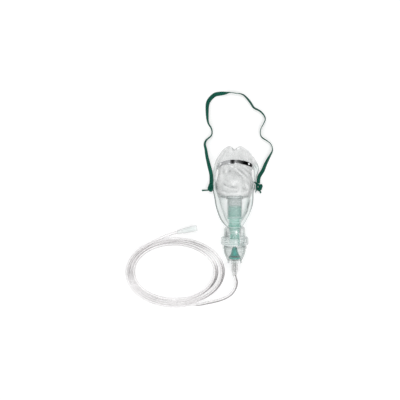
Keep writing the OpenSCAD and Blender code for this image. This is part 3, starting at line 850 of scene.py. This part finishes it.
def lathe(profile, start=0.0, sweep=360.0, sides=96, fine=0.8):
    """Closed skin of a profile of (radius, station) turned about the local Z axis."""
    full_profile = []
    for (r0, s0), (r1, s1) in zip(profile, list(profile[1:]) + [profile[0]]):
        pieces = max(int(math.hypot(r1 - r0, s1 - s0) / fine), 1)
        full_profile += [(r0 + (r1 - r0) * k / pieces, s0 + (s1 - s0) * k / pieces) for k in range(pieces)]
    profile = full_profile
    full = sweep >= 360.0
    count = sides if full else max(int(sides * sweep / 360.0), 3)
    rings = count if full else count + 1
    size = len(profile)
    verts, faces = [], []
    for k in range(rings):
        a = math.radians(start + sweep * k / count)
        verts += [(r * math.cos(a), r * math.sin(a), s) for r, s in profile]
    for k in range(count):
        nxt = (k + 1) % rings
        for j in range(size):
            m = (j + 1) % size
            faces.append((k * size + j, nxt * size + j, nxt * size + m, k * size + m))
    if not full:
        faces.append(tuple(range(size)))
        faces.append(tuple((rings - 1) * size + j for j in reversed(range(size))))
    return verts, faces


def fluted(profile, flutes, depth, from_r, sides=240):
    """Turned skin whose points beyond from_r wave in and out by depth."""
    verts, faces = lathe(profile, sides=sides)
    for k, (x, y, s) in enumerate(verts):
        r = math.hypot(x, y)
        if r > from_r:
            wave = 1 + depth / r * math.cos(flutes * math.atan2(y, x))
            verts[k] = (x * wave, y * wave, s)
    return verts, faces


def block(r0, r1, s0, s1, angle, width, radius=0.25):
    """Piece of a ring wall, centred on an angle."""
    return lathe(rounded([(r0, s0), (r1, s0), (r1, s1), (r0, s1)], radius, 2), angle - width / 2, width)


def on_axis(name, *parts, smooth_angle=40):
    verts, faces = joined(*parts)
    place = [ON_AXIS @ (Vector(v) * MM) for v in verts]
    return new_object(name, place, faces, smooth_angle, scale=1.0)


def turned_piece(name, parts, slot, body, cad_node, painted_light=None):
    piece = on_axis(name, *parts)
    if painted_light:
        write_on_points(piece, painted_light)
    return dress(piece, slot, body, [cad_node])


def ring_rib(s, r0, r1, wide, narrow, corner):
    """Low rib round a turned wall, wide at its foot and narrow at its crest."""
    return lathe(rounded([(r0, s - wide), (r1, s - narrow), (r1, s + narrow), (r0, s + wide)], corner))


def turned_place(x, y, z):
    """Radius and station of a point on the nebuliser's axis."""
    local = ON_AXIS.inverted() @ (Vector((x, y, z)) * MM) / MM
    return math.hypot(local.x, local.y), local.z


# Painted light on the port socket: painted shade down its sides, a little more beyond station 60, and painted
# highlight rings at two stations.
def socket_painted_light(x, y, z):
    radius, s = turned_place(x, y, z)
    angle = math.degrees(math.asin(min(max(x / max(radius, 0.01), -1), 1)))
    sides = bump_at(abs(angle), 62, 8) * 0.16 + bump_at(abs(angle), 84, 9) * 0.3
    return sides * (z > 20) - 0.9 * bump_at(s, 76.6, 0.8) - 0.5 * bump_at(s, 41, 1.5) + 0.04 + 0.2 * (s > 60)


# Painted light on the mist adapter: painted shade bands by its ribs and near its far end, painted highlight lines at
# two stations.
def adapter_painted_light(x, y, z):
    s = turned_place(x, y, z)[1]
    bands = sum(0.3 * bump_at(s, middle, 0.9) for middle in (27.6, 30.2, 33.2))
    return bands - 0.75 * bump_at(s, 31.9, 0.55) - 0.45 * bump_at(s, 35.4, 0.5) + 0.25 * bump_at(s, 57.6, 0.9)


# Painted light on the cap: painted highlights at its inner top rim, as a glint on its shoulder and as bands round its
# collar; the lines called folds are painted shade down its wall.
def cap_painted_light(x, y, z):
    radius, s = turned_place(x, y, z)
    rim = 0.9 * bump_at(s, 24.0, 0.6) * (radius < 12.2)
    over = z > 26
    glint = 1.8 * bump_at(s, 17.4, 3.0) * bump_at(x, 2.4, 1.5) * (radius > 17.3) * over
    folds = 0.45 * bump_at(x, 9.6, 1.6) * (radius > 17) * (8 < s < 24)
    folds += 0.5 * bump_at(x, -13.6, 1.8) * bump_at(s, 13, 7) * (radius > 17) * over
    folds += 0.35 * bump_at(x, -9.6, 1.3) * bump_at(s, 4, 7) * (radius > 17) * over
    folds += 0.38 * (x < -9.5) * (s > 6.5) * (radius > 17) * (radius < 19) * over
    bands = sum(0.8 * bump_at(s, middle, 1.1) for middle in (4.6, 1.4, -1.8, -5.0)) * (radius > 20) * (x < 6)
    return folds - rim - glint - bands * over


# Painted light on the baffle chimney: painted highlights along its sides, and painted glints and a few painted shade
# spots on its upper side.
def chimney_painted_light(x, y, z):
    s = turned_place(x, y, z)[1]
    walls = 0.8 * bump_at(abs(x), 7.4, 0.7)
    spots = sum(
        size * bump_at(x, px, 0.9) * bump_at(s, ps, 1.0) for px, ps, size in
        ((-2.4, 6.0, 1.0), (2.0, 3.6, 1.0), (-1.0, -0.6, 1.0), (3.4, -2.4, 1.0), (-4.4, -3.6, 0.8), (0.8, 9.6, 0.9),
         (1.6, 0.6, 0.9), (4.4, -5.0, 0.9), (-3.2, 2.6, -0.7), (1.2, -4.8, -0.8), (4.2, 1.6, -0.6), (-4.6, 8.4, -0.6))
    )
    return -walls - spots * (z > 27)


# Painted shade on the jet cone: dark round its base and in two lines down its flanks.
def cone_painted_light(x, y, z):
    radius, s = turned_place(x, y, z)
    base = 1.4 * bump_at(s, -26.5, 1.3) * (radius > 5) * bump_at(x, 0, 8.5)
    return base + 0.45 * bump_at(abs(x), 0.62 * radius, 0.9) * (s > -24)


def port_socket():
    bore = 11.05
    profile = [
        (bore + 0.5, 39.3), (12.5, 39.3), (13.3, 40.1), (13.3, 41.3), (12.5, 42.1), (12.5, 70.5),
        (14.3, 71.5), (14.3, 73.2), (12.5, 73.2), (12.5, 77), (bore, 77), (bore, 40.1),
    ]
    turned_piece(
        "port_socket_clear", [lathe(rounded(profile, 0.35))], "port_plastic", "mask", "port_socket", socket_painted_light
    )


def outlet_adapter():
    profile = [(7.5, 15.3), (8.9, 15.3), (8.9, 24.6), (11, 24.6), (11, 26.5), (9.5, 26.9)]
    for s in (28.6, 31.6, 34.6):
        profile += [(9.5, s - 0.7), (10.3, s - 0.4), (10.3, s + 0.4), (9.5, s + 0.7)]
    profile += [
        (9.5, 37), (12.5, 37.6), (12.5, 38.9), (11, 38.9), (11, 58.3), (10.3, 59), (9.4, 59), (9.4, 40), (7.5, 36),
    ]
    parts = [lathe(rounded(profile, 0.3))]
    turned_piece("mist_adapter", parts, "pale_green_plastic", "adapter", "outlet_adapter", adapter_painted_light)


def nebuliser_cap():
    wall = [
        (16.1, -9.3), (18, -9.3), (18, 17.4), (17.9, 19.2), (17.3, 21), (16.2, 22.6), (14.6, 23.6), (12.8, 24),
        (11.5, 24), (11.5, 24.4), (8.95, 24.4), (8.95, 14), (8, 14), (8, 12), (10.5, 12), (10.5, 22), (13, 22),
        (15, 20.6), (16.1, 18),
    ]
    collar = [
        (17.5, 4.4), (21.3, 4.4), (21.3, -6), (22.8, -6), (23.05, -5), (23.05, 0), (22.9, 3.6), (22.3, 5.3),
        (21.2, 6), (17.5, 6),
    ]
    parts = [lathe(rounded(wall, 0.5)), fluted(rounded(collar, 0.4), 24, 0.22, 21.0)]
    for angle in (-25, 95, 155, 275):
        parts.append(block(17.6, 21.7, -2, 4.6, angle, 8))
    for s in (-7.6, 8.5, 10.5):
        parts.append(ring_rib(s, 17.8, 18.25, 0.4, 0.3, 0.2))
    cap = turned_piece("nebuliser_cap_clear", parts, "cap_plastic", "cap", "nebuliser_cap", cap_painted_light)
    cap.visible_shadow = False


def baffle():
    tube = [(6.9, -3.5), (8, -3.5), (8, 14), (6.9, 14)]
    parts = [lathe(rounded(tube, 0.25))]
    for k in range(6):
        parts.append(block(6.9, 8.0, -9, -3.2, 60 * k + 30, 34))
    for angle in (45, 135, 225, 315):
        parts.append(block(7.7, 11.5, -6, 10, angle, 6))
    for s in (-1.5, 1.5, 4.5, 7.5):
        parts.append(ring_rib(s, 7.8, 8.5, 0.35, 0.2, 0.15))
    turned_piece("baffle_chimney", parts, "pale_green_plastic", "cap", "baffle_tube", chimney_painted_light)

    pin = [(0.001, -8.7), (1.3, -8.7), (1.7, -8.2), (1.7, -4.2), (1.2, -3.7), (0.001, -3.7)]
    bar = []
    outline = [(1.0, -1.1), (6.85, -0.8), (6.85, 0.8), (1.0, 1.1)]
    for way in (1, -1):
        verts = [(way * x, way * y, s) for s in (-6.1, -3.9) for x, y in outline]
        faces = [(3, 2, 1, 0), (4, 5, 6, 7)] + [(k, (k + 1) % 4, 4 + (k + 1) % 4, 4 + k) for k in range(4)]
        bar.append((verts, faces))
    turned_piece("impact_pin", [lathe(pin, sides=32), *bar], "pale_green_plastic", "cap", "impact_baffle")


def seal_ring():
    ring = lathe(rounded([(16.1, -10.2), (18.1, -10.2), (18.1, -9.4), (16.1, -9.4)], 0.3))
    turned_piece("seal_ring", [ring], "seal_rubber", "seal", "cap_seal")


def jet_cone():
    cone = [
        (0.7, -11), (3.2, -11), (3.6, -12.5), (4.6, -16.5), (5.6, -20.5), (7.2, -24.5), (10, -27.2), (10, -30.6),
        (4.8, -30.6), (2.3, -13), (0.7, -12.3),
    ]
    parts = [lathe(rounded(cone, 0.3))]
    for k in range(8):
        rib = [(3.2, -12.5), (3.9, -12.5), (6.1, -21), (7.8, -25), (7.0, -25)]
        parts.append(lathe(rib, 45 * k - 4, 8))
    turned_piece("jet_cone_green", parts, "dark_green_plastic", "jet", "jet_cone", cone_painted_light)


def bowl():
    wall = [
        (14.65, -3), (16.05, -3), (16.05, -10.3), (18.3, -10.3), (18.3, -18), (17.2, -23), (12.8, -33), (2.5, -33),
        (2.5, -31), (11.4, -31), (15.8, -22), (16.8, -17.8), (16.8, -12.3), (14.65, -10.3),
    ]
    nozzle = [
        (0.5, -12.8), (1.6, -12.8), (4.2, -31), (4.2, -33), (3, -33.6), (3, -52.5), (2.6, -53.5), (1.6, -53.5),
        (1.6, -20), (0.5, -15),
    ]
    parts = [lathe(rounded(wall, 0.6)), lathe(rounded(nozzle, 0.2), sides=48)]
    for k in range(4):
        parts.append(block(10.6, 12, -38, -32.7, 90 * k, 70))
    for angle in (0, 180):
        lug = [(17.6, -13), (20.6, -13), (20.6, -3.5), (18.6, -3.5), (18.6, -11.2), (17.6, -11.2)]
        parts.append(lathe(rounded(lug, 0.3, 2), angle - 12, 24))
    for s in (-12.6, -16.6):
        parts.append(ring_rib(s, 18.1, 18.55, 0.35, 0.2, 0.15))
    jar = turned_piece("medicine_bowl", parts, "clear_plastic", "bowl", "bowl")
    jar.visible_shadow = False


def hose_connector():
    profile = [
        (3.05, -38), (5.1, -38), (5.35, -38.8), (5.1, -40.4), (5.1, -51), (4.4, -55), (3.5, -60), (2.76, -60.4),
        (2.76, -56.5), (3.05, -54.5),
    ]
    parts = [lathe(rounded(profile, 0.3), sides=48)]
    for k in range(10):
        parts.append(block(4.95, 5.4, -50, -41.5, 36 * k, 9, 0.15))
    turned_piece(
        "hose_funnel", parts, "soft_vinyl", "hose", "hose_connector",
        # Painted light on the upper side: a painted shade line near the middle and a painted highlight beside it.
        lambda x, y, z: (0.75 * bump_at(x, 0.8, 0.9) - 0.5 * bump_at(x, 3.0, 0.8)) * (z > 17),
    )


def clip_frame(t):
    """Middle of the strip at arch angle t, with its sideways and outward directions."""
    y = CLIP_Y - CLIP_BEND * math.cos(t) ** 2
    back, front = (np.array(dome_point(y + d, t, WALL, False)) for d in (-1.5, 1.5))
    left, right = (np.array(dome_point(y, t + d, WALL, False)) for d in (0.03, -0.03))
    side = (front - back) / np.linalg.norm(front - back)
    out = np.cross(right - left, side)
    return np.array(dome_point(y, t, WALL, False)), side, out / np.linalg.norm(out)


CLIP_Y = 44.0
CLIP_BEND = 8.5
CLIP_W = 7.5
CLIP_T = 0.9
CLIP_END = math.radians(30)
STUD_ANGLES = (math.radians(47), math.radians(133))


# How much painted dark reflection the strip has from left to right
CLIP_PAINTED_REFLECTION = [
    (-31, 0.9), (-28, 0.3), (-25, 0), (-9, 0), (-6.5, 0.85), (-1, 0.85), (1, 0.1), (12, 0.2), (15, 0.9), (29, 1),
]


def nose_clip():
    steps, round_end = 120, 0.13
    outline = []
    for k in range(20):
        a = 2 * math.pi * k / 20
        c, s = math.cos(a), math.sin(a)
        outline.append((math.copysign(abs(c) ** 0.25, c), math.copysign(abs(s) ** 0.5, s)))
    verts = []
    for i in range(steps + 1):
        t = math.pi - CLIP_END - (math.pi - 2 * CLIP_END) * i / steps
        middle, side, out = clip_frame(t)
        near = min(min(t - CLIP_END, math.pi - CLIP_END - t) / round_end, 1.0)
        half = CLIP_W / 2 * math.sqrt(max(1 - (1 - near) ** 2, 0.03))
        ripple = 0.12 * math.sin(9 * t) + 0.08 * math.sin(23 * t + 1)
        centre = middle + (0.25 + CLIP_T / 2) * out + ripple * side
        verts += [centre + a * half * side + b * CLIP_T / 2 * out for a, b in outline]
    faces = [tuple(range(20)), tuple(steps * 20 + k for k in reversed(range(20)))]
    for i in range(steps):
        for k in range(20):
            n = (k + 1) % 20
            faces.append((i * 20 + k, (i + 1) * 20 + k, (i + 1) * 20 + n, i * 20 + n))
    strip = new_object("nose_strip", verts, faces)
    cutters = []
    for t in STUD_ANGLES:
        middle, side, out = clip_frame(t)
        cutters.append(rod("hole", 1.45, middle - 4 * out, middle + 4 * out, 32))
    cut(strip, *cutters)
    shade(strip, 40)
    # Painted dark reflection along the strip
    write_on_points(strip, lambda x, y, z: smooth(CLIP_PAINTED_REFLECTION, x))
    dress(strip, "clip_metal", "mask", ["nose_clip"])

    heads = []
    profile = rounded([
        (0.01, -0.4), (1.2, -0.4), (1.2, 1.5), (1.9, 1.5), (1.9, 1.9), (1.2, 2.3), (0.01, 2.35),
    ], 0.15, 2)
    for t in STUD_ANGLES:
        middle, side, out = clip_frame(t)
        turn = Vector(out).to_track_quat("Z", "Y").to_matrix()
        verts, faces = lathe(profile, sides=32)
        heads.append(([np.array(turn @ Vector(v)) + middle for v in verts], faces))
    studs = new_object("strip_studs", *joined(*heads))
    dress(studs, frame_slot("clip_studs"), "mask", ["clip_studs"])


def frame_slot(cad_node):
    return next(e["material_slot"] for e in frame["record"]["subparts"] if e["node"] == cad_node)


def ribbon(points, width, thick, roll=0.0, twist=0.0):
    """Flat band along a smooth line through points, rolled about it."""
    path = resampled(points, 0.7)
    outline = [(math.copysign(abs(c) ** 0.4, c) * thick / 2, s * width / 2)
               for c, s in circle(1.0, 16)]

    def section(i):
        a = math.radians(roll + twist * i / (len(path) - 1))
        return [(x * math.cos(a) + y * math.sin(a), y * math.cos(a) - x * math.sin(a)) for x, y in outline]

    return swept(path, section)


def knot_loop(centre, size, turns, phase, lift):
    """Points of a band wound round itself."""
    points = []
    for k in range(int(turns * 16) + 1):
        a = 2 * math.pi * k / 16 + phase
        b = 1.5 * a
        r = 1 + 0.32 * math.cos(b)
        points.append((
            centre[0] + size[0] * r * math.cos(a), centre[1] + size[1] * r * math.sin(a),
            centre[2] + lift * math.sin(b),
        ))
    return points


def knots():
    left = new_object("left_knot", *joined(
        ribbon(knot_loop((-40.3, 1.0, 5.4), (2.7, 4.3), 2.0, 0.4, 1.9), 3.6, 1.3, 40, 160),
        ribbon([(-38, 6, 5.5), (-43, 3, 7), (-44, -2, 6), (-40, -5, 5), (-37.5, -1, 6)], 3.4, 1.2, 30, 90),
        ribbon([(-41, -3.5, 4), (-45, -3.6, 2.6), (-50, -3.9, 1.9), (-55.5, -4.2, 1.7)], 3.2, 1.2, 20, 20),
        ribbon([(-40, 9, 5.5), (-40.4, 5, 5.8), (-40.6, 0, 6.2), (-40, -4, 5)], 5.6, 1.2, 62, 0),
    ), smooth_angle=50)
    dress(left, "strap_elastic", "mask", ["strap_knot_left"])
    right = new_object("right_knot", *joined(
        ribbon(knot_loop((40.2, 1.6, 5.4), (2.6, 3.6), 2.0, 2.0, 1.8), 3.4, 1.3, 20, 150),
        ribbon([(34, 10, 4.2), (38, 7, 6.2), (43, 4, 7), (45, -1, 5.5), (41, -4, 4.4), (38, 0, 6)], 3.2, 1.2, 35, 80),
        ribbon([(41, -2, 4.5), (43, -5, 3), (44.5, -8.5, 2.2)], 3.0, 1.2, 30, 30),
        ribbon([(39, 0, 5), (37.2, -3.5, 3), (35.5, -7.5, 2.4)], 2.8, 1.2, 30, -30),
        ribbon([(42, 4, 5.6), (45.6, 5.6, 4.2), (46.4, 2, 3.8), (44, -1, 4.8)], 2.6, 1.2, 30, 60),
    ), smooth_angle=50)
    dress(right, "strap_elastic", "mask", ["strap_knot_right"])


def supply_connector():
    rear = Vector(TAIL_ROUTE[-1])
    length, mouth, back = 34.0, 5.6, 3.4
    rise = math.asin((mouth - back) / length)
    azimuth = math.radians(13)
    way = Vector((
        math.cos(rise) * math.cos(azimuth), math.cos(rise) * math.sin(azimuth), math.sin(rise),
    ))
    turn = way.to_track_quat("Z", "Y").to_matrix()
    profile = [
        (1.75, 0), (3.1, 0), (3.4, 1), (3.75, 9), (4.3, 10), (4.5, 18), (5.0, 28), (5.3, 31.5), (5.6, 32.5),
        (5.6, 33.4), (5.2, 34), (2.95, 34), (2.95, 18), (1.75, 16.5),
    ]
    parts = [lathe(rounded(profile, 0.4), sides=48)]
    for k in range(10):
        rib = [(4.1, 11), (4.62, 11), (4.75, 18), (5.2, 28), (4.8, 28)]
        parts.append(lathe(rib, 36 * k - 4, 8))
    verts, faces = joined(*parts)
    funnel = new_object("supply_funnel", [turn @ Vector(v) + rear for v in verts], faces)
    # Painted light on the supply funnel: a faint painted shade line along one side and a painted highlight on all of
    # it higher than 6.4 mm.
    across = turn @ Vector((0, 1, 0))
    across *= -math.copysign(1, across.y)
    write_on_points(funnel, lambda x, y, z: 0.2 * bump_at((Vector((x, y, z)) - rear) @ across, 3.6, 0.8) - 1.0 * (z > 6.4))
    dress(funnel, "soft_vinyl", "hose", ["supply_connector"])


nose_clip()
knots()
supply_connector()
port_socket()
outlet_adapter()
nebuliser_cap()
baffle()
seal_ring()
jet_cone()
bowl()
hose_connector()

# ---------------------------------------------------------------- carried-over CAD nodes

for entry in frame["record"]["subparts"]:
    part = frame["nodes"][entry["node"]]
    if not part.hide_render:
        part.data.materials.clear()
        part.data.materials.append(MATERIALS[entry["material_slot"]])
